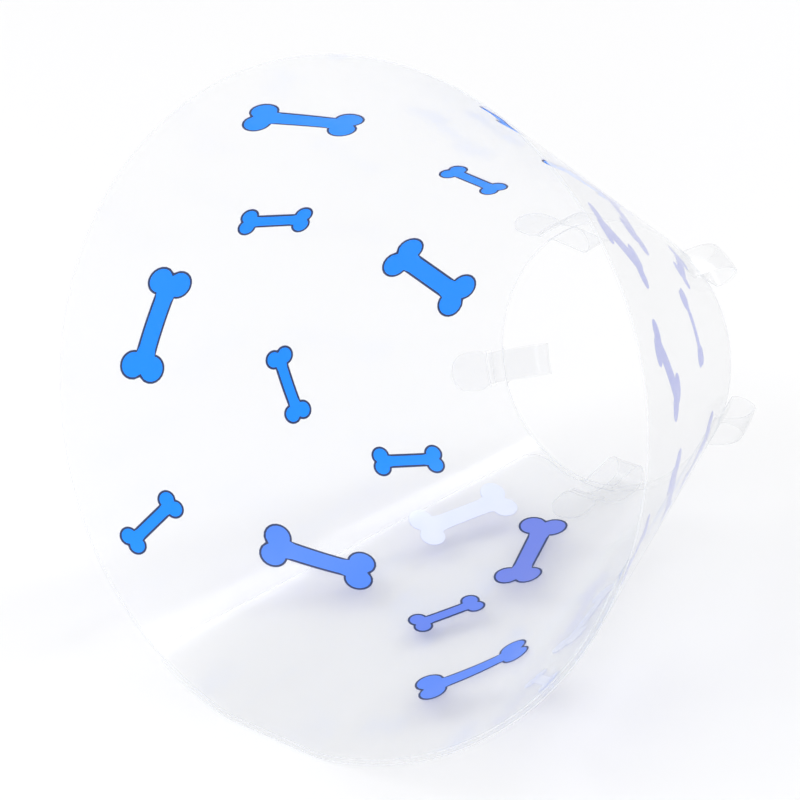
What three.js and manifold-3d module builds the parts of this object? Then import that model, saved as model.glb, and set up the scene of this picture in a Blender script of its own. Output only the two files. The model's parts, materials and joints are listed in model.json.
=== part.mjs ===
// A clear elizabethan collar for a large dog: one die-cut plastic sheet rolled into an open cone,
// lying on its side. The sheet laps over itself at the bottom. Five straps stand out of its neck
// edge, curl back as loops for the pet's own collar, and end in round heads held in slits.
// Units are millimetres. +Z is up, +X runs from the wide mouth to the neck, +Y is the far side.
import * as THREE from "three";
import { mergeVertices } from "three/addons/utils/BufferGeometryUtils.js";
import Module from "manifold-3d";

const wasm = await Module();
wasm.setup();

// Driving dimensions of the cone
const neckRadius = 80;
const rimRadius = 200;
const depth = 300; // along the wall, from the neck edge to the rim
const thickness = 1;
const layerOffset = 3.2; // the inner lap lies this far inside the outer one
const facetAngle = 6; // degrees of the cone's turn that one flat facet covers
const restAngle = 9; // the rim lies flat on its resting surface this far each way from the bottom
const restTilt = 3.04; // degrees that the lowest loop lifts the neck end by
const jointGap = 0.3; // between neighbouring panels
const cornerRadius = 12; // of the sheet's four free corners

// Driving dimensions of the straps
const strapWidth = 19;
const strapReach = 35; // how far a loop stands out past the neck edge
const strapGap = 0.7; // between the neck edge and the strap that continues it
const loopRadius = 7.5;
const slitDistance = 9.7; // from the neck edge to the middle of the slit
const slitOpening = 4;
const slitWidth = 22;
const headLength = 25;
const headRadius = 11;
const headOffset = 1.9; // the head lies this far inside its panel

// Azimuths are degrees about the cone's axis, from the bottom and positive towards +Y. The
// sheet starts at its outer free edge and runs through falling azimuths to its inner free edge.
const rampStart = -117; // where the sheet starts to draw inwards
const rampEnd = -333; // where it has become the inner lap
const panels = [
  { name: "outer_flap", from: 27, to: -45, freeEdge: "from", strap: -6 },
  { name: "near_wall_panel", from: -45, to: -117, strap: -78 },
  { name: "near_top_panel", from: -117, to: -189, strap: -150 },
  { name: "far_top_panel", from: -189, to: -261, strap: -222 },
  { name: "far_wall_panel", from: -261, to: -333, strap: -294 },
  { name: "inner_lap_panel", from: -333, to: -387 },
  { name: "inner_flap", from: -387, to: -441, freeEdge: "to" },
];

const sinHalf = (rimRadius - neckRadius) / depth;
const cosHalf = Math.sqrt(1 - sinHalf * sinHalf);
const neckSlant = neckRadius / sinHalf; // from the apex along the wall
const rimSlant = neckSlant + depth;

const clearSheet = () =>
  new THREE.MeshStandardMaterial({
    color: 0xf1f4f6,
    roughness: 0.18,
    metalness: 0,
    transparent: true,
    opacity: 0.35,
  });

const radians = THREE.MathUtils.degToRad;
const radial = (azimuth) =>
  new THREE.Vector3(0, Math.sin(radians(azimuth)), -Math.cos(radians(azimuth)));
const tangent = (azimuth) =>
  new THREE.Vector3(0, Math.cos(radians(azimuth)), Math.sin(radians(azimuth)));

// A point of the cone's wall: its distance from the apex along the wall, its azimuth, and its
// height above the wall along the outward normal. The apex is at the origin.
function onCone(slant, azimuth, height) {
  const out = slant * sinHalf + height * cosHalf;
  const along = -slant * cosHalf + height * sinHalf;
  return radial(azimuth).multiplyScalar(out).setX(along);
}

// How far the sheet has drawn inwards at an azimuth of its spiral.
function lapHeight(azimuth) {
  const share = (rampStart - azimuth) / (rampStart - rampEnd);
  return -layerOffset * THREE.MathUtils.clamp(share, 0, 1);
}

// The share of its radius that the rim keeps where its weight flattens it.
function restShare(azimuth) {
  const fromBottom = azimuth - 360 * Math.round(azimuth / 360);
  if (Math.abs(fromBottom) > restAngle) return 1;
  return Math.cos(radians(restAngle)) / Math.cos(radians(fromBottom));
}

// How far a rounded corner cuts the edge back, at a distance from the free edge.
function cornerCut(distance) {
  const left = Math.max(cornerRadius - distance, 0);
  return cornerRadius - Math.sqrt(cornerRadius * cornerRadius - left * left);
}

// A thin closed solid over a grid: place(row, column, side) gives its outer (1) and inner (-1)
// face, with the outward normal on the side of columns x rows.
function sheetSolid(rows, columns, place) {
  const positions = [];
  const index = [];
  const id = (row, column, side) =>
    (side > 0 ? 0 : rows * columns) + row * columns + column;
  for (const side of [1, -1])
    for (let row = 0; row < rows; row++)
      for (let column = 0; column < columns; column++)
        positions.push(...place(row, column, side).toArray());
  const quad = (a, b, c, d) => index.push(a, c, b, a, d, c);
  for (let row = 0; row + 1 < rows; row++)
    for (let column = 0; column + 1 < columns; column++) {
      const corners = [
        [row, column],
        [row + 1, column],
        [row + 1, column + 1],
        [row, column + 1],
      ];
      quad(...corners.map(([r, c]) => id(r, c, 1)));
      quad(...corners.reverse().map(([r, c]) => id(r, c, -1)));
    }
  const wall = (from, to) =>
    quad(id(...from, 1), id(...from, -1), id(...to, -1), id(...to, 1));
  for (let row = 0; row + 1 < rows; row++) {
    wall([row, 0], [row + 1, 0]);
    wall([row + 1, columns - 1], [row, columns - 1]);
  }
  for (let column = 0; column + 1 < columns; column++) {
    wall([0, column + 1], [0, column]);
    wall([rows - 1, column], [rows - 1, column + 1]);
  }
  const geometry = new THREE.BufferGeometry();
  geometry.setAttribute("position", new THREE.Float32BufferAttribute(positions, 3));
  geometry.setIndex(index);
  return geometry;
}

function toManifold(geometry) {
  const bare = geometry.clone();
  bare.deleteAttribute("normal");
  bare.deleteAttribute("uv");
  const merged = mergeVertices(bare, 1e-4);
  return new wasm.Manifold(
    new wasm.Mesh({
      numProp: 3,
      vertProperties: merged.attributes.position.array,
      triVerts: new Uint32Array(merged.index.array),
    }),
  );
}

function fromManifold(solid) {
  const mesh = solid.getMesh();
  const geometry = new THREE.BufferGeometry();
  geometry.setAttribute("position", new THREE.BufferAttribute(mesh.vertProperties, 3));
  geometry.setIndex(new THREE.BufferAttribute(mesh.triVerts, 1));
  geometry.computeVertexNormals();
  return geometry;
}

// The azimuths of a panel's facet edges, with extra ones through a free edge's round corners.
function facetEdges({ from, to, freeEdge }) {
  const edges = [];
  for (let azimuth = from; azimuth >= to; azimuth -= facetAngle) edges.push(azimuth);
  const corner = [0.4, 1.3, 2.8];
  if (freeEdge === "from") edges.push(...corner.map((step) => from - step));
  if (freeEdge === "to") edges.push(...corner.map((step) => to + step));
  return edges.sort((a, b) => b - a);
}

// One panel of the wall, with the slit that its strap's head goes through.
function panelGeometry(panel) {
  const { from, to, freeEdge, strap } = panel;
  const edges = facetEdges(panel);
  const last = edges.length - 1;
  const place = (row, column, side) => {
    const azimuth = edges[column];
    const free = freeEdge === "from" ? from - azimuth : azimuth - to;
    const turn = freeEdge ? radians(free) : Infinity;
    const slant =
      row === 0
        ? neckSlant + cornerCut(turn * neckRadius)
        : rimSlant - cornerCut(turn * rimRadius);
    const point = onCone(slant, azimuth, lapHeight(azimuth) + (side * thickness) / 2);
    const flat = row === 1 ? restShare(azimuth) : 1;
    point.multiply(new THREE.Vector3(1, flat, flat));
    const inset = column === 0 ? -1 : column === last ? 1 : 0;
    return point.addScaledVector(tangent(azimuth), (inset * jointGap) / 2);
  };
  const geometry = sheetSolid(2, edges.length, place);
  if (strap === undefined) return geometry;
  const cutter = new THREE.BoxGeometry(slitOpening, slitWidth, 6 * thickness);
  const height = lapHeight(strap);
  const along = onCone(1, strap, 0).normalize();
  const normal = onCone(0, strap, 1);
  const frame = new THREE.Matrix4().makeBasis(along, tangent(strap), normal);
  if (frame.determinant() < 0) frame.makeBasis(along, tangent(strap).negate(), normal);
  cutter.applyMatrix4(frame.setPosition(onCone(neckSlant + slitDistance, strap, height)));
  return fromManifold(toManifold(geometry).subtract(toManifold(cutter)));
}

// The strap's side view, as [slant, height] pairs: straight out of the neck edge, round the
// fold, and back in a slope that ends just inside the slit.
function loopPath() {
  const foldSlant = neckSlant - strapReach + loopRadius + thickness / 2;
  const points = [new THREE.Vector2(neckSlant - strapGap, 0)];
  const foldSteps = 8;
  for (let step = 0; step <= foldSteps; step++) {
    const turn = (Math.PI * step) / foldSteps;
    points.push(
      new THREE.Vector2(
        foldSlant - loopRadius * Math.sin(turn),
        loopRadius * (1 - Math.cos(turn)),
      ),
    );
  }
  const way = new THREE.CubicBezierCurve(
    new THREE.Vector2(foldSlant, 2 * loopRadius),
    new THREE.Vector2(foldSlant + 17, 2 * loopRadius),
    new THREE.Vector2(neckSlant - 2, 9),
    new THREE.Vector2(neckSlant + slitDistance + 2, -headOffset),
  );
  return points.concat(way.getPoints(9).slice(1));
}

// The strap bows across its width as the wall does, so it meets the neck edge and the slit.
function strapGeometry(azimuth) {
  const path = loopPath();
  const strips = 5;
  const height = lapHeight(azimuth);
  const place = (row, column, side) => {
    const across = strapWidth * (column / strips - 0.5);
    const before = path[Math.max(row - 1, 0)];
    const after = path[Math.min(row + 1, path.length - 1)];
    const heading = after.clone().sub(before).normalize();
    const half = (side * thickness) / 2;
    const slant = path[row].x + heading.y * half;
    const lift = path[row].y - heading.x * half - (across * across) / (2 * neckRadius);
    return onCone(slant, azimuth, height + lift).addScaledVector(tangent(azimuth), across);
  };
  return sheetSolid(path.length, strips + 1, place);
}

// The round head, lying along the inside of the wall from the slit towards the rim.
function headGeometry(azimuth) {
  const steps = 10;
  const strips = 6;
  const start = neckSlant + slitDistance + 3;
  const height = lapHeight(azimuth) - headOffset;
  const place = (row, column, side) => {
    const forward = (headLength * row) / steps;
    const past = Math.max(forward - (headLength - headRadius), 0);
    const tip = Math.sqrt(Math.max(headRadius ** 2 - past ** 2, 0));
    const neck = forward < headLength - 2 * headRadius + 2 ? strapWidth / 2 : headRadius;
    const halfWidth = Math.max(Math.min(neck, tip), 3);
    const across = halfWidth * ((2 * column) / strips - 1);
    const slant = start + forward;
    const turn = THREE.MathUtils.radToDeg(across / (slant * sinHalf));
    return onCone(slant, azimuth - turn, height + (side * thickness) / 2);
  };
  return sheetSolid(steps + 1, strips + 1, place);
}

const cone = new THREE.Group();

function addPiece(name, geometry) {
  geometry.computeVertexNormals();
  const mesh = new THREE.Mesh(geometry, clearSheet());
  mesh.name = name;
  cone.add(mesh);
}

for (const panel of panels) addPiece(panel.name, panelGeometry(panel));
panels
  .filter((panel) => panel.strap !== undefined)
  .forEach((panel, index) => {
    addPiece(`neck_strap_${index + 1}`, strapGeometry(panel.strap));
    addPiece(`strap_head_${index + 1}`, headGeometry(panel.strap));
  });

// Lay the cone on its side, on its rim and its lowest loop, with the middle of its footprint at
// the origin.
cone.rotation.y = Math.asin(sinHalf) - radians(restTilt);
const collar = new THREE.Group();
collar.add(cone);
collar.updateMatrixWorld(true);
const box = new THREE.Box3().setFromObject(collar, true);
const middle = box.getCenter(new THREE.Vector3());
cone.position.set(-middle.x, -middle.y, -box.min.z);

export default collar;
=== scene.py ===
import json
import math

import bmesh
import bpy
import numpy as np
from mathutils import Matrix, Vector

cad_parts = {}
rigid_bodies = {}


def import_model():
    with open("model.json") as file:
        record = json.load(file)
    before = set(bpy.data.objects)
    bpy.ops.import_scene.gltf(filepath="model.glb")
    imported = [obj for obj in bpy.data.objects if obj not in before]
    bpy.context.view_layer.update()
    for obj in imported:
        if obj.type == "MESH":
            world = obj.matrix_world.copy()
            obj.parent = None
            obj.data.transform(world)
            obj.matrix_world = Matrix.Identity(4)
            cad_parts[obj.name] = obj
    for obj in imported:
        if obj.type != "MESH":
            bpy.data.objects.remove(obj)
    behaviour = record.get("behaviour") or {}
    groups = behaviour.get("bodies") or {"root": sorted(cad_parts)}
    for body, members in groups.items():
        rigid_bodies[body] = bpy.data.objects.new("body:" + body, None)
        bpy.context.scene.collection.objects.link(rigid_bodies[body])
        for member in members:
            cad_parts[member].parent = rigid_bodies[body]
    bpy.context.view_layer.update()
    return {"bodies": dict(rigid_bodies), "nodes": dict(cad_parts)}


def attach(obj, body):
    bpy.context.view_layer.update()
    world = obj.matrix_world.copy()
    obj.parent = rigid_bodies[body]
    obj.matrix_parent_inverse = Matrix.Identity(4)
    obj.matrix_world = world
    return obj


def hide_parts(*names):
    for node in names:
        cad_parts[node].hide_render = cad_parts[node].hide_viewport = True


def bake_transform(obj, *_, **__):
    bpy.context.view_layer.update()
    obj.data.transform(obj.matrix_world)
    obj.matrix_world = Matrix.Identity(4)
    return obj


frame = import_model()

print("frame loaded:", len(frame["nodes"]), "nodes")

# a far camera, looking down into the mouth of the cone
view = {
    "eye": (-3.2856, -2.4259, 2.8031),
    "aim": (-0.0401, 0.0260, 0.1390),
    "lens": 385,  # a long lens, so the cone keeps its proportions
    "sensor": 36,
    "farthest": 50,
}


def lookAt(thing, eye, aim):
    # stands the thing at eye with its -Z towards aim and its +Y as near up as can be
    direction = Vector(aim) - Vector(eye)
    thing.location = eye
    thing.rotation_euler = direction.to_track_quat("-Z", "Y").to_euler()


camera = bpy.data.objects.new("camera", bpy.data.cameras.new("camera"))
camera.data.lens = view["lens"]
camera.data.sensor_width = view["sensor"]
camera.data.clip_end = view["farthest"]
lookAt(camera, view["eye"], view["aim"])
bpy.context.scene.collection.objects.link(camera)
bpy.context.scene.camera = camera

# The cone that every piece lies on, in metres and degrees. An azimuth is measured about its
# axis from the bottom, positive towards +Y. The sheet runs through falling azimuths, from its
# outer free edge to its inner one
cone = {
    "neckRadius": 0.080,
    "rimRadius": 0.200,
    "depth": 0.300,  # along the wall
    "lapOffset": 0.0032,  # the inner lap lies this far inside the outer one
    "lapStart": -117,
    "lapEnd": -333,
    "restAngle": 9,  # the rim is flat this far each way from the bottom
    "restTilt": 3.04,  # the lowest loop lifts the neck by this
    "apex": (0.3061795, 0.0010170, 0.0247048),
    "film": 0.0007,
    "tangentStep": 0.5,
}
sinHalf = (cone["rimRadius"] - cone["neckRadius"]) / cone["depth"]
cosHalf = math.sqrt(1 - sinHalf**2)
neckSlant = cone["neckRadius"] / sinHalf
rimSlant = neckSlant + cone["depth"]
middleSlant = (neckSlant + rimSlant) / 2
lean = math.asin(sinHalf) - math.radians(cone["restTilt"])


def lapHeight(azimuth):
    # nothing on the outer turn, then a steady fall to the inner lap's depth
    share = (cone["lapStart"] - azimuth) / (cone["lapStart"] - cone["lapEnd"])
    return -cone["lapOffset"] * np.clip(share, 0, 1)


def restShare(slant, azimuth):
    # cos(rest) / cos(from the bottom) at the rim, which makes a flat, fading out to the neck
    fromBottom = azimuth - 360 * np.round(azimuth / 360)
    flat = math.cos(math.radians(cone["restAngle"])) / np.cos(np.radians(fromBottom))
    share = np.where(np.abs(fromBottom) < cone["restAngle"], flat, 1.0)
    return 1 - (1 - share) * np.clip((slant - neckSlant) / cone["depth"], 0, 1)


def onCone(slant, azimuth, height):
    # out from the axis = slant sin(half) + height cos(half), along it = height sin(half) -
    # slant cos(half), turned round the axis by the azimuth, then leaned over onto its side
    slant, azimuth, height = np.broadcast_arrays(slant, azimuth, height)
    turn = np.radians(azimuth)
    out = (slant * sinHalf + height * cosHalf) * restShare(slant, azimuth)
    along = height * sinHalf - slant * cosHalf
    side, up = out * np.sin(turn), -out * np.cos(turn)
    x = along * math.cos(lean) + up * math.sin(lean)
    z = up * math.cos(lean) - along * math.sin(lean)
    return np.stack([x, side, z], -1) + np.array(cone["apex"])


def tangentAt(azimuth):
    # the level direction round the cone, towards rising azimuths
    step = cone["tangentStep"]
    ahead = onCone(middleSlant, azimuth + step, 0.0) - onCone(middleSlant, azimuth - step, 0.0)
    return ahead / np.linalg.norm(ahead)


# how a piece's mesh is finished, in degrees and metres
meshing = {"sharpAngle": 40, "weldDistance": 2e-6}


def closeGrid(upper, lower, keep=None):
    # two faces over one grid, with a wall along each border of the kept cells. Returns the
    # points, the faces and each face's kind: 0 a face, 1 a wall, 2 a first or last column's wall
    rows, columns = upper.shape[:2]
    if keep is None:
        keep = np.ones((rows - 1, columns - 1), bool)
    ids = np.arange(rows * columns).reshape(rows, columns)
    below = rows * columns
    a, b, c, d = ids[:-1, :-1], ids[1:, :-1], ids[1:, 1:], ids[:-1, 1:]
    around = np.pad(keep, 1)
    place = np.broadcast_to(np.arange(columns - 1), keep.shape)
    faces = [np.stack([a, b, c, d], -1)[keep], np.stack([d, c, b, a], -1)[keep] + below]
    kinds = [np.zeros(2 * keep.sum(), int)]
    sides = [
        (around[1:-1, :-2], a, b, place == 0),
        (around[2:, 1:-1], b, c, None),
        (around[1:-1, 2:], c, d, place == columns - 2),
        (around[:-2, 1:-1], d, a, None),
    ]
    for beside, first, second, ending in sides:
        bare = keep & ~beside
        wall = np.stack([second, first, first + below, second + below], -1)[bare]
        faces.append(wall)
        kinds.append(np.ones(len(wall), int) if ending is None else 1 + ending[bare])
    points = np.concatenate([upper.reshape(-1, 3), lower.reshape(-1, 3)])
    return points, np.concatenate(faces), np.concatenate(kinds)


def makePiece(name, parts, materials, weld=False):
    # parts are dicts of points, faces, slots (a material for each face), flat (a UV for each
    # point) and values (a number for each point, by name). Each part's volume, the sum of
    # a.(b x c)/6 over its triangles, must be positive, or its faces are turned round
    points, faces, start = [], [], 0
    for part in parts:
        corner = part["points"][part["faces"]] - part["points"].mean(0)
        one = np.einsum("ij,ij->i", corner[:, 0], np.cross(corner[:, 1], corner[:, 2]))
        two = np.einsum("ij,ij->i", corner[:, 0], np.cross(corner[:, 2], corner[:, 3]))
        turned = part["faces"] if (one + two).sum() > 0 else part["faces"][:, ::-1]
        points.append(part["points"])
        faces.append(turned + start)
        start += len(part["points"])
    mesh = bpy.data.meshes.new(name)
    mesh.from_pydata(np.concatenate(points).tolist(), [], np.concatenate(faces).tolist())
    for material in materials:
        mesh.materials.append(material)
    slots = np.concatenate([part["slots"] for part in parts]).astype(np.int32)
    mesh.polygons.foreach_set("material_index", slots)
    corners = np.zeros(len(mesh.loops), np.int32)
    mesh.loops.foreach_get("vertex_index", corners)
    flat = np.concatenate([part["flat"] for part in parts])
    layer = mesh.uv_layers.new(name="flat")
    layer.data.foreach_set("uv", flat[corners].astype(np.float32).ravel())
    for value in parts[0]["values"]:
        attribute = mesh.attributes.new(value, "FLOAT", "POINT")
        numbers = np.concatenate([part["values"][value] for part in parts])
        attribute.data.foreach_set("value", numbers.astype(np.float32))
    if weld:
        work = bmesh.new()
        work.from_mesh(mesh)
        bmesh.ops.remove_doubles(work, verts=work.verts, dist=meshing["weldDistance"])
        work.to_mesh(mesh)
        work.free()
    mesh.shade_smooth()
    mesh.set_sharp_from_angle(angle=math.radians(meshing["sharpAngle"]))
    piece = bpy.data.objects.new(name, mesh)
    bpy.context.scene.collection.objects.link(piece)
    return piece


class Link:
    # a socket of a node tree; arithmetic on it adds Math nodes
    def __init__(self, tree, socket=None):
        self.tree = tree
        self.socket = socket

    def node(self, kind, settings=None, values=None, output=0):
        made = self.tree.nodes.new(kind)
        for name, value in (settings or {}).items():
            if name == "stops":
                ramp = made.color_ramp.elements
                while len(ramp) < len(value):
                    ramp.new(1.0)
                for stop, (position, colour) in zip(ramp, value):
                    stop.position = position
                    stop.color = colour
            else:
                setattr(made, name, value)
        for name, value in (values or {}).items():
            if isinstance(value, Link):
                self.tree.links.new(value.socket, made.inputs[name])
            else:
                made.inputs[name].default_value = value
        return Link(self.tree, made.outputs[output] if len(made.outputs) else None)

    def math(self, operation, first, second):
        return self.node("ShaderNodeMath", {"operation": operation}, {0: first, 1: second})

    def __add__(self, other):
        return self.math("ADD", self, other)

    def __radd__(self, other):
        return self.math("ADD", other, self)

    def __mul__(self, other):
        return self.math("MULTIPLY", self, other)

    def __rmul__(self, other):
        return self.math("MULTIPLY", other, self)

    def __pow__(self, other):
        return self.math("POWER", self, other)


def newMaterial(name):
    material = bpy.data.materials.new(name)
    material.use_nodes = True
    material.node_tree.nodes.clear()
    return material, Link(material.node_tree)


def noise(start, vector, scale, detail=2.0, distortion=0.0):
    values = {"Vector": vector, "Scale": scale, "Detail": detail, "Distortion": distortion}
    return start.node("ShaderNodeTexNoise", {}, values)


def mixColours(start, factor, first, second):
    values = {0: factor, 6: (*first, 1), 7: (*second, 1)}
    return start.node("ShaderNodeMix", {"data_type": "RGBA"}, values, 2)


def finishMaterial(start, values):
    shader = start.node("ShaderNodeBsdfPrincipled", {}, values, "BSDF")
    start.node("ShaderNodeOutputMaterial", {}, {"Surface": shader})


# the clear film; each noise is its scale and detail, and then any distortion
film = {
    "colour": (0.77, 0.78, 0.80),
    "cloud": (0.88, 0.89, 0.91),
    "bend": 2.5,  # refraction, set high because so little of each face is there to reflect
    "clear": 0.058,  # how much one face hides, seen square on
    "clouding": 0.026,
    "glancing": 0.62,  # more of it, seen edge on
    "lapHaze": 0.02,  # more of it, where the inner lap lies on the outer one
    "roughness": 0.09,
    "scuffs": 0.16,
    "ripple": 0.25,
    "cloudNoise": (9.0, 3.0, 0.4),
    "scuffNoise": (12.0, 5.0),
    "grainNoise": (700.0, 1.0),
    "rippleNoise": (13.0, 1.0),
    "rolled": (6.0, 90.0, 1.0),  # draws the scuffs out along the way the film was rolled
    "scuffRelief": 0.02,
    "grainRelief": 0.004,
    "reliefDepth": 0.004,
    "hazeWidth": 16,  # degrees over which the lap's haze comes in
}


def clearFilm():
    # clear sheet: nearly nothing face on, whiter at a glancing angle, with a slow ripple in
    # it, faint clouding and fine scuffs along the way it was rolled
    material, start = newMaterial("clearFilm")
    flat = start.node("ShaderNodeTexCoord", {}, {}, "UV")
    stretched = start.node(
        "ShaderNodeMapping", {}, {"Vector": flat, "Scale": film["rolled"]}
    )
    cloud = noise(start, flat, *film["cloudNoise"])
    scuff = noise(start, stretched, *film["scuffNoise"])
    grain = noise(start, flat, *film["grainNoise"])
    ripple = noise(start, flat, *film["rippleNoise"])
    haze = start.node("ShaderNodeAttribute", {"attribute_name": "haze"}, {}, "Fac")
    glance = start.node("ShaderNodeLayerWeight", {}, {"Blend": 0.5}, "Facing")
    alpha = film["clear"] + cloud * film["clouding"] + haze * film["lapHaze"]
    alpha = alpha + glance**5 * film["glancing"]
    relief = ripple + scuff * film["scuffRelief"] + grain * film["grainRelief"]
    bump = start.node(
        "ShaderNodeBump",
        {},
        {"Height": relief, "Strength": film["ripple"], "Distance": film["reliefDepth"]},
    )
    finishMaterial(
        start,
        {
            "Base Color": mixColours(start, cloud, film["colour"], film["cloud"]),
            "Roughness": film["roughness"] + scuff**3 * film["scuffs"],
            "Alpha": alpha,
            "IOR": film["bend"],
            "Normal": bump,
        },
    )
    return material


cut = {
    "colour": (0.66, 0.69, 0.73),
    "lighterAtNicks": (0.80, 0.83, 0.87),
    "nickNoise": (260.0, 2.0),
    "roughness": 0.25,
    "bend": 1.5,
    "clear": 0.28,
    "unevenness": 0.2,
    "nickStrength": 0.4,
    "nickDepth": 0.0003,
}


def cutEdge():
    # the die-cut edge, painted greyer than the face as a stand-in for the light it catches
    material, start = newMaterial("cutEdge")
    flat = start.node("ShaderNodeTexCoord", {}, {}, "UV")
    nicks = noise(start, flat, *cut["nickNoise"])
    bump = start.node(
        "ShaderNodeBump",
        {},
        {"Height": nicks, "Strength": cut["nickStrength"], "Distance": cut["nickDepth"]},
    )
    finishMaterial(
        start,
        {
            # painted light: the edge's grey stands in for the light it catches, and turns
            # lighter where the nick noise is high
            "Base Color": mixColours(start, nicks, cut["colour"], cut["lighterAtNicks"]),
            "Roughness": cut["roughness"] + nicks * cut["unevenness"],
            "Alpha": cut["clear"] + nicks * cut["unevenness"],
            "IOR": cut["bend"],
            "Normal": bump,
        },
    )
    return material


ink = {
    "fill": (0.004, 0.250, 1.0),
    "deep": (0.002, 0.200, 0.93),
    # painted light: a darker, greyer blue standing in for the shade and the reflected white on
    # bones lying on the lap, and a pale colour standing in for the light the lap film reflects
    # over bones behind it
    "lying": (0.150, 0.195, 0.62),
    "paintedVeil": (0.76, 0.79, 0.89),
    "outline": (0.022, 0.038, 0.105),
    "outlineDeep": (0.03, 0.05, 0.14),
    "back": (0.14, 0.19, 0.73),
    "backDeep": (0.11, 0.15, 0.68),
    "glow": 0.14,  # painted light: the inks glow a little, standing in for light that comes through the film from behind
    "unevenNoise": (70.0, 3.0),
    "toothNoise": (1400.0, 2.0),
    "tonedUneven": 0.12,
    "bend": 1.45,
    "roughness": 0.30,
    "uneven": 0.18,
    "toothStrength": 0.15,
    "toothDepth": 0.0002,
}


def printInk(name, first, second, withPaintedTone=False):
    # screen-printed ink: a slightly uneven coat, a little glossy, with its own fine tooth and a
    # faint painted glow standing in for light from behind
    material, start = newMaterial(name)
    flat = start.node("ShaderNodeTexCoord", {}, {}, "UV")
    uneven = noise(start, flat, *ink["unevenNoise"])
    tooth = noise(start, flat, *ink["toothNoise"])
    colour = mixColours(start, uneven, first, second)
    # painted light: the ramp runs from the plain print to the painted lap shade and sheen, then
    # to the painted veil
    if withPaintedTone:
        tone = start.node("ShaderNodeAttribute", {"attribute_name": "tone"}, {}, "Fac")
        stops = [
            (0.0, (*first, 1)),
            (0.5, (*ink["lying"], 1)),
            (1.0, (*ink["paintedVeil"], 1)),
        ]
        ramp = start.node("ShaderNodeValToRGB", {"stops": stops}, {"Fac": tone})
        values = {0: uneven * ink["tonedUneven"], 6: ramp, 7: (*second, 1)}
        colour = start.node("ShaderNodeMix", {"data_type": "RGBA"}, values, 2)
    bump = start.node(
        "ShaderNodeBump",
        {},
        {"Height": tooth, "Strength": ink["toothStrength"], "Distance": ink["toothDepth"]},
    )
    finishMaterial(
        start,
        {
            "Base Color": colour,
            "Roughness": ink["roughness"] + uneven * ink["uneven"],
            # painted light: each ink glows faintly in its own colour
            "Emission Color": colour,
            "Emission Strength": ink["glow"],
            "IOR": ink["bend"],
            "Normal": bump,
        },
    )
    return material


def joinedEdge():
    # the inside of the sheet where one piece runs on into the next: nothing to see
    material, start = newMaterial("joinedEdge")
    finishMaterial(start, {"Base Color": (0.9, 0.92, 0.94, 1), "Roughness": 0.2, "Alpha": 0.0})
    return material


filmMaterial = clearFilm()
joinMaterial = joinedEdge()
edgeMaterial = cutEdge()
fillMaterial = printInk("boneFill", ink["fill"], ink["deep"], withPaintedTone=True)
outlineMaterial = printInk("boneOutline", ink["outline"], ink["outlineDeep"])
backMaterial = printInk("boneBack", ink["back"], ink["backDeep"])
print("materials ready")

# the sheet, in five pieces, each listed with one or two bodies
sheet = {
    "cornerRadius": 0.012,
    "cornerTurn": 9,  # degrees in which the columns close up towards a free corner
    "cornerColumns": 16,
    "columnStep": 1.0,  # degrees
    "neckRows": (0.012, 0.055),  # shares of the depth, before and after the slits' rows
    "wallRows": (0.08, 1, 28),  # the first and last share of the depth, and how many
    "band": 0.046,  # the width of the band about a bending line; its ends are worked out, but nothing bends
    "pieces": [
        {
            "name": "film_outer_flap",
            "from": 27,
            "to": -92,
            "free": "from",
            "bodies": ("outer_flap", "near_wall"),
            "line": -45,
            "nodes": ("outer_flap", "near_wall_panel"),
        },
        {
            "name": "film_near_wall",
            "from": -92,
            "to": -163,
            "bodies": ("near_wall", "near_top"),
            "line": -117,
            "nodes": ("near_wall_panel", "near_top_panel"),
        },
        {
            "name": "film_top",
            "from": -163,
            "to": -236,
            "bodies": ("near_top", "held_half"),
            "line": -189,
            "nodes": ("near_top_panel", "far_top_panel"),
        },
        {
            "name": "film_far_wall",
            "from": -236,
            "to": -352,
            "bodies": ("held_half",),
            "nodes": ("far_top_panel", "far_wall_panel", "inner_lap_panel"),
        },
        {
            "name": "film_inner_flap",
            "from": -352,
            "to": -441,
            "free": "to",
            "bodies": ("held_half", "inner_flap"),
            "line": -387,
            "nodes": ("inner_lap_panel", "inner_flap"),
        },
    ],
}
strap = {
    "azimuths": (-6, -78, -150, -222, -294),
    "bodies": ("outer_flap", "near_wall", "near_top", "held_half", "held_half"),
    "width": 0.018,
    "rootFlare": 0.003,
    "reach": 0.035,  # how far a loop stands out past the neck edge
    "loopRadius": 0.0075,
    "slit": (0.0080, 0.0114),  # its two sides, from the neck edge
    "slitWidth": 0.022,
    "headEnd": 0.0377,  # from the neck edge
    "headRadius": 0.0115,
    "headDepth": 0.0018,  # below the wall's middle
    "rootGap": 0.00003,
    "straightFrom": 0.006,
    "levelRun": 0.019,  # it leaves the fold level for this far
    "slitTurn": (0.0095, 0.0085),  # before the slit and above the wall, where it dips
    "slitHeight": -0.0001,
    "dip": (0.0015, -0.00145),  # past the slit and below the wall, where it levels out
    "level": (0.003, 0.005),
    "tipTurn": 88,  # degrees
    "foldPast": 0.03,  # along the strap, past which it lies inside the wall
    "swellStart": 0.0012,
    "swellLength": 0.006,
    "headLine": (0.0013, 0.0015, 0.0025),  # past the slit, and how far before and after it; the points worked out from them are not used
    "haze": 2.4,
    "apart": 0.1,  # each loop's marks are drawn from another stretch of the noise
    "steps": {
        "root": 7,
        "straight": 8,
        "fold": 25,
        "back": 22,
        "dip": 8,
        "head": 8,
        "tip": 12,
        "across": 15,
    },
}


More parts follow.
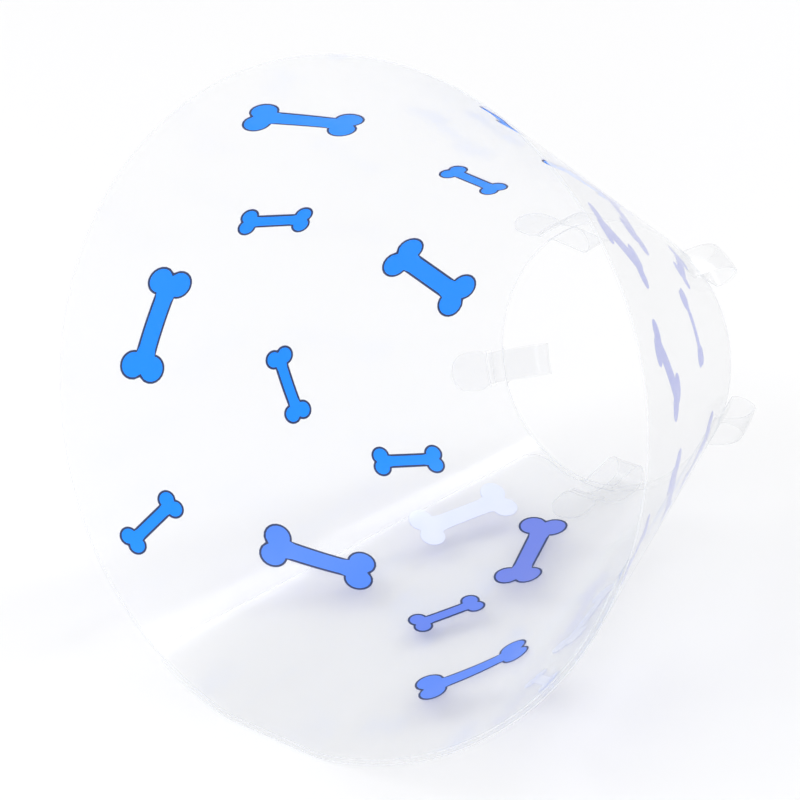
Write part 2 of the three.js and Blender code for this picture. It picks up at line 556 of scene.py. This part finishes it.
def follow(piece, bodies, line=None):
    # the piece rides on its first body when it has no bending line; with one, the band's ends
    # are worked out and the piece is only baked in place
    if line is None:
        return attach(piece, bodies[0])
    middle = onCone(middleSlant, line, lapHeight(line))
    step = -tangentAt(line) * sheet["band"] / 2
    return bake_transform(piece, *bodies, start=tuple(middle - step), end=tuple(middle + step))


def flatCut(slant, azimuth):
    # the sheet laid flat: its distance from the apex stays, and its angle shrinks by sin(half)
    angle = np.radians(azimuth) * sinHalf
    slant, angle = np.broadcast_arrays(slant, angle)
    return np.stack([slant * np.cos(angle) + 0.5, slant * np.sin(angle) + 0.5], -1)


def cornerCut(distance):
    # radius - sqrt(radius^2 - (radius - distance)^2), the cut of a quarter circle
    left = np.clip(sheet["cornerRadius"] - distance, 0, None)
    return sheet["cornerRadius"] - np.sqrt(sheet["cornerRadius"] ** 2 - left**2)


def lapHaze(azimuth):
    # rises smoothly from 0 to 1 where the sheet passes over its own outer edge
    share = np.clip((cone["lapEnd"] - azimuth) / film["hazeWidth"], 0, 1)
    return share * share * (3 - 2 * share)


def filmPiece(piece):
    # rows run from the neck edge to the rim and columns round the cone. A cell whose middle
    # lies in a slit is left out
    before, after = sheet["neckRows"]
    shares = [0, before, *(s / cone["depth"] for s in strap["slit"]), after]
    shares = np.concatenate([shares, np.linspace(*sheet["wallRows"])])
    slitMiddle = neckSlant + sum(strap["slit"]) / 2
    halfSlit = math.degrees(strap["slitWidth"] / 2 / (slitMiddle * sinHalf))
    slits = [a for a in strap["azimuths"] if piece["to"] < a < piece["from"]]
    count = round((piece["from"] - piece["to"]) / sheet["columnStep"])
    azimuths = np.linspace(piece["from"], piece["to"], count + 1)
    for middle in slits:
        for side in (middle - halfSlit, middle + halfSlit):
            azimuths[np.abs(azimuths - side).argmin()] = side
    free = piece.get("free")
    if free:
        cornerTurn = sheet["cornerTurn"]
        quarter = np.linspace(0, np.pi / 2, sheet["cornerColumns"])[:-1]
        arc = cornerTurn * (1 - np.cos(quarter))
        end = piece[free]
        corner = end - arc if free == "from" else end + arc
        azimuths = np.concatenate([azimuths[np.abs(azimuths - end) >= cornerTurn], corner])
    azimuths = -np.sort(-azimuths)
    share, azimuth = np.meshgrid(shares, azimuths, indexing="ij")
    low, high = np.full_like(azimuth, neckSlant), np.full_like(azimuth, rimSlant)
    if free:
        turn = np.radians(np.abs(azimuth - piece[free]))
        low = low + cornerCut(turn * cone["neckRadius"])
        high = high - cornerCut(turn * cone["rimRadius"])
    slant = low + share * (high - low)
    middleShare = (share[1:, 1:] + share[:-1, 1:]) / 2 * cone["depth"]
    middleTurn = (azimuth[1:, 1:] + azimuth[1:, :-1]) / 2
    keep = np.ones(middleShare.shape, bool)
    for middle in slits:
        along = (middleShare > strap["slit"][0]) & (middleShare < strap["slit"][1])
        keep &= ~(along & (np.abs(middleTurn - middle) < halfSlit))
    height = lapHeight(azimuth)
    half = cone["film"] / 2
    points, faces, kinds = closeGrid(
        onCone(slant, azimuth, height + half), onCone(slant, azimuth, height - half), keep
    )
    # a wall where the sheet goes on in the next piece isn't a real edge
    seam = kinds == 2
    if free:
        column = faces[:, 0] % len(azimuths)
        atFree = column <= 1 if free == "from" else column >= len(azimuths) - 2
        seam &= ~atFree
    slots = np.where(seam, 2, np.minimum(kinds, 1))
    flat = flatCut(slant, azimuth).reshape(-1, 2)
    haze = lapHaze(azimuth).ravel()
    part = {
        "points": points,
        "faces": faces,
        "slots": slots,
        "flat": np.concatenate([flat, flat]),
        "values": {"haze": np.concatenate([haze, haze])},
    }
    made = makePiece(piece["name"], [part], [filmMaterial, edgeMaterial, joinMaterial])
    follow(made, piece["bodies"], piece.get("line"))
    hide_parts(*piece["nodes"])


for piece in sheet["pieces"]:
    filmPiece(piece)
print("film made:", len(sheet["pieces"]), "pieces")


def bezier(points, count):
    # (1-t)^3 a + 3 (1-t)^2 t b + 3 (1-t) t^2 c + t^3 d
    t = np.linspace(0, 1, count)[:, None]
    a, b, c, d = (np.array(point) for point in points)
    return (1 - t) ** 3 * a + 3 * (1 - t) ** 2 * t * b + 3 * (1 - t) * t**2 * c + t**3 * d


def loopPath():
    # side view as [slant, height]: straight out of the neck edge, round the fold, back in a
    # long slope through the slit, and flat along the inside of the wall to the round end
    steps, radius, depth = strap["steps"], strap["loopRadius"], strap["headDepth"]
    fold = neckSlant - strap["reach"] + radius
    slit = neckSlant + sum(strap["slit"]) / 2
    top, through = 2 * radius, strap["slitHeight"]
    flare = strap["rootFlare"] * (1 - np.cos(np.linspace(0, np.pi / 2, steps["root"])))
    straight = np.linspace(strap["straightFrom"], neckSlant - fold, steps["straight"])[:-1]
    out = np.concatenate([flare, straight])
    out = np.stack([neckSlant - strap["rootGap"] - out, 0 * out], -1)
    turn = np.linspace(0, np.pi, steps["fold"])
    bend = np.stack([fold - radius * np.sin(turn), radius * (1 - np.cos(turn))], -1)
    before, above = strap["slitTurn"]
    leaving, entering = (fold + strap["levelRun"], top), (slit - before, above)
    back = bezier([(fold, top), leaving, entering, (slit, through)], steps["back"])
    past, below = strap["dip"]
    near, far = strap["level"]
    dipping, level = (slit + past, below), (slit + near, -depth)
    down = bezier([(slit, through), dipping, level, (slit + far, -depth)], steps["dip"])
    end = neckSlant + strap["headEnd"] - strap["headRadius"]
    flat = np.linspace(slit + far, end, steps["head"])[1:]
    tipTurn = np.linspace(0, np.radians(strap["tipTurn"]), steps["tip"])[1:]
    flat = np.concatenate([flat, end + strap["headRadius"] * np.sin(tipTurn)])
    flat = np.stack([flat, np.full_like(flat, -depth)], -1)
    return np.concatenate([out, bend, back[1:], down[1:], flat])


def loopWidths(path):
    # half the width at each point: a small flare at the root, the strap's own width, then
    # the head, which swells past the slit and ends in a half circle
    steps = np.linalg.norm(np.diff(path, axis=0), axis=1)
    length = np.concatenate([[0], np.cumsum(steps)])
    flare = strap["rootFlare"]
    near = np.clip(1 - length / flare, 0, 1)
    width = strap["width"] / 2 + flare * (1 - np.sqrt(1 - near**2))
    inside = (path[:, 1] < 0) & (length > strap["foldPast"])
    swellFrom = neckSlant + strap["slit"][1] + strap["swellStart"]
    swell = np.clip((path[:, 0] - swellFrom) / strap["swellLength"], 0, 1)
    swell = swell * swell * (3 - 2 * swell) * inside
    width = width + swell * (strap["headRadius"] - strap["width"] / 2)
    past = np.clip(path[:, 0] - (neckSlant + strap["headEnd"] - strap["headRadius"]), 0, None)
    tip = np.sqrt(np.clip(strap["headRadius"] ** 2 - past**2, 1e-8, None))
    return np.where(inside, np.minimum(width, tip), width), length


def loopPiece(number, azimuth, body):
    # the band is carried along the path, and bows across its width as the wall does:
    # lift = height - across^2 / (2 x the wall's radius)
    path = loopPath()
    width, length = loopWidths(path)
    heading = np.gradient(path, axis=0)
    heading /= np.linalg.norm(heading, axis=1)[:, None]
    aside = np.linspace(-np.pi / 2, np.pi / 2, strap["steps"]["across"])
    across = width[:, None] * np.sin(aside)[None, :]
    tangent = tangentAt(azimuth)
    faces = []
    for side in (1, -1):
        half = side * cone["film"] / 2
        slant = (path[:, 0] + heading[:, 1] * half)[:, None]
        lift = (path[:, 1] - heading[:, 0] * half)[:, None]
        lift = lift + lapHeight(azimuth) - across**2 / (2 * slant * sinHalf)
        points = onCone(slant, azimuth, lift) + across[..., None] * tangent
        faces.append(points)
    points, quads, kinds = closeGrid(*faces)
    flat = np.stack(np.broadcast_arrays(length[:, None] + strap["apart"] * number, across), -1)
    flat = flat.reshape(-1, 2)
    part = {
        "points": points,
        "faces": quads,
        "slots": (kinds > 0).astype(int),
        "flat": np.concatenate([flat, flat]),
        "values": {"haze": np.full(len(points), strap["haze"])},
    }
    made = makePiece(f"loop_{number}", [part], [filmMaterial, edgeMaterial])
    head = f"strap_head_{number}"
    if head in frame["bodies"]:
        past, before, after = strap["headLine"]
        fold = neckSlant + strap["slit"][1] + past
        start = onCone(fold - before, azimuth, lapHeight(azimuth) - strap["headDepth"])
        end = onCone(fold + after, azimuth, lapHeight(azimuth) - strap["headDepth"])
        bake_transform(made)
    else:
        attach(made, body)
    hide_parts(f"neck_strap_{number}", head)


for number, (azimuth, body) in enumerate(zip(strap["azimuths"], strap["bodies"]), 1):
    loopPiece(number, azimuth, body)
print("loops made:", len(strap["azimuths"]))

# The printed bones. Each place is a size, the distance from the apex, the azimuth, the angle
# from the wall's own direction, and a painted tone: 0 the plain print, 0.5 painted shade and
# reflection for a bone lying on the lap, 1 a painted veil of reflected light for a bone seen
# through it
bones = {
    "large": {"half": 0.0335, "knob": 0.0075, "spread": 0.0062, "shaft": 0.0053},
    "small": {"half": 0.0220, "knob": 0.0046, "spread": 0.0036, "shaft": 0.0031},
    "line": 0.0013,  # width of the dark outline
    "back": (0.00006, 0.00010),  # the three coats, measured inwards from the film
    "outline": (0.00013, 0.00017),
    "fill": (0.00020, 0.00024),
    "steps": {"knob": 9, "shaft": 10, "across": 15, "end": 7},
    "places": [
        ("large", 0.274, 19, 10, 1.0),
        ("large", 0.383, -52, 11, 1.0),
        ("small", 0.455, -50, -40, 1.0),
        ("large", 0.363, -83, -54, 0.0),
        ("large", 0.277, -80, 25, 0.0),
        ("small", 0.470, -84, 30, 0.0),
        ("large", 0.414, -114, -40, 0.0),
        ("small", 0.305, -122, -79, 0.0),
        ("large", 0.434, -139, -25, 0.0),
        ("large", 0.350, -153, 55, 0.0),
        ("small", 0.262, -143, 30, 0.0),
        ("small", 0.440, -172, 8, 0.0),
        ("large", 0.300, -174, -16, 0.0),
        ("small", 0.294, -215.5, -3, 0.0),
        ("large", 0.428, -221, -27, 0.0),
        ("small", 0.383, -249.5, -15, 0.0),
        ("large", 0.262, -258, 23, 0.0),
        ("large", 0.440, -275, -78, 0.0),
        ("small", 0.349, -290, 74, 0.0),
        ("small", 0.284, -318, 17, 0.0),
        ("small", 0.459, -312, -23, 0.0),
        ("large", 0.375, -332.5, 49, 0.25),
        ("small", 0.353, -365.5, 27, 0.40),
        ("large", 0.278, -369.5, -17, 0.48),
        ("large", 0.407, -385.5, 52, 0.30),
    ],
}


def boneShape(size, grow):
    # y = share x h(x), where h is the shaft's half width, or spread + sqrt(knob^2 - (x -
    # middle)^2) over a knob. Past a knob's middle x runs on to middle + sqrt(knob^2 -
    # (|y| - spread)^2), which leaves the notch between the two knobs
    knob, shaft, spread = size["knob"] + grow, size["shaft"] + grow, size["spread"]
    middle, count = size["half"] - size["knob"], bones["steps"]
    rise = middle - knob * np.cos(np.linspace(0, np.pi / 2, count["knob"]))
    along = np.linspace(-rise[0], rise[0], count["shaft"])[1:-1]
    x = np.concatenate([-rise[::-1], along, rise])
    share = np.sin(np.linspace(-np.pi / 2, np.pi / 2, count["across"]))
    over = np.clip(knob**2 - (np.abs(x) - middle) ** 2, 0, None)
    over = np.where(np.abs(x) > middle - knob - 1e-9, spread + np.sqrt(over), 0)
    height = np.maximum(shaft, over)
    x, y = np.broadcast_arrays(x[None, :], share[:, None] * height[None, :])
    edge = share[:, None] * (spread + knob)
    reach = np.sqrt(np.clip(knob**2 - (np.abs(edge) - spread) ** 2, 0, None))
    steps = np.linspace(0, 1, count["end"])[None, 1:]
    endX, endY = np.broadcast_arrays(middle + reach * steps, edge)
    x = np.concatenate([-endX[:, ::-1], x, endX], 1)
    y = np.concatenate([endY[:, ::-1], y, endY], 1)
    return x, y


def boneParts(place, slot, coat, grow):
    # the flat bone is turned, set down on the flat sheet and rolled up with it: slant =
    # hypot(X, Y) and azimuth = its own + atan2(Y, X) / sin(half)
    size, slant, azimuth, angle, tone = place
    x, y = boneShape(bones[size], grow)
    turn = math.radians(angle)
    flatX = slant + x * math.cos(turn) - y * math.sin(turn)
    flatY = x * math.sin(turn) + y * math.cos(turn)
    onSlant = np.hypot(flatX, flatY)
    onAzimuth = azimuth + np.degrees(np.arctan2(flatY, flatX)) / sinHalf
    base = lapHeight(onAzimuth) - cone["film"] / 2
    near, far = bones[coat]
    points, faces, kinds = closeGrid(
        onCone(onSlant, onAzimuth, base - near), onCone(onSlant, onAzimuth, base - far)
    )
    flat = flatCut(onSlant, onAzimuth).reshape(-1, 2)
    return {
        "points": points,
        "faces": faces,
        "slots": np.full(len(faces), slot),
        "flat": np.concatenate([flat, flat]),
        "values": {"tone": np.full(len(points), tone)},
    }


def printPiece(piece):
    here = [p for p in bones["places"] if piece["to"] <= p[2] < piece["from"]]
    parts = []
    for place in here:
        paintedVeil = place[4] == 1  # no outline is seen through the lap
        line = 0.0 if paintedVeil else bones["line"]
        parts.append(boneParts(place, 0, "fill", 0.0))
        if not paintedVeil:
            parts.append(boneParts(place, 1, "outline", line))
        parts.append(boneParts(place, 2, "back", line))
    name = piece["name"].replace("film", "bones")
    materials = [fillMaterial, outlineMaterial, backMaterial]
    made = makePiece(name, parts, materials, weld=True)
    follow(made, piece["bodies"], piece.get("line"))
    return len(here)


printed = sum(printPiece(piece) for piece in sheet["pieces"])
print("bones printed:", printed)

# floor, lamps and backdrop
studio = {
    "floorRadius": 9.0,
    "floor": (0.90, 0.90, 0.905),
    "floorWorn": (0.88, 0.88, 0.885),
    "floorNoise": (1.5, 2.0),
    "floorDrift": 0.25,
    "floorRoughness": 0.75,
    "floorGloss": 0.2,
    "floorSides": 96,
    "lampAim": (0, 0, 0.18),
    "throughFaces": 40,  # how many clear faces one ray of light may pass
    "world": (1.0, 1.0, 1.0),
    "worldStrength": 0.74,
    "lamps": [
        {"name": "softbox", "eye": (-1.5, 1.6, 2.6), "size": (2.2, 2.2), "watts": 30},
        {"name": "strip", "eye": (1.9, -0.6, 1.9), "size": (0.4, 2.4), "watts": 15},
        {"name": "fill", "eye": (-2.5, -1.3, 1.2), "size": (1.8, 1.8), "watts": 30},
    ],
}


def paleFloor():
    # a round floor, point = radius (cos, sin), with a soft unevenness in its paint
    turn = np.linspace(0, 2 * np.pi, studio["floorSides"] + 1)[:-1]
    ring = np.stack([np.cos(turn), np.sin(turn), 0 * turn], -1) * studio["floorRadius"]
    mesh = bpy.data.meshes.new("floor")
    mesh.from_pydata(ring.tolist(), [], [list(range(len(turn)))])
    material, start = newMaterial("paleFloor")
    place = start.node("ShaderNodeTexCoord", {}, {}, "Object")
    drift = noise(start, place, *studio["floorNoise"]) * studio["floorDrift"]
    pale = mixColours(start, drift, studio["floor"], studio["floorWorn"])
    values = {
        "Base Color": pale,
        "Roughness": studio["floorRoughness"],
        "Specular IOR Level": studio["floorGloss"],
    }
    finishMaterial(start, values)
    mesh.materials.append(material)
    floor = bpy.data.objects.new("floor", mesh)
    bpy.context.scene.collection.objects.link(floor)


def studioLight():
    world = bpy.data.worlds.new("studio")
    world.use_nodes = True
    world.node_tree.nodes.clear()
    start = Link(world.node_tree)
    values = {"Color": (*studio["world"], 1), "Strength": studio["worldStrength"]}
    glow = start.node("ShaderNodeBackground", {}, values)
    start.node("ShaderNodeOutputWorld", {}, {"Surface": glow})
    bpy.context.scene.world = world
    for lamp in studio["lamps"]:
        light = bpy.data.lights.new(lamp["name"], "AREA")
        light.shape = "RECTANGLE"
        light.size, light.size_y = lamp["size"]
        light.energy = lamp["watts"]
        holder = bpy.data.objects.new(lamp["name"], light)
        lookAt(holder, lamp["eye"], studio["lampAim"])
        bpy.context.scene.collection.objects.link(holder)


paleFloor()
studioLight()
bpy.context.scene.view_settings.view_transform = "Standard"
bpy.context.scene.cycles.transparent_max_bounces = studio["throughFaces"]
print("studio ready")
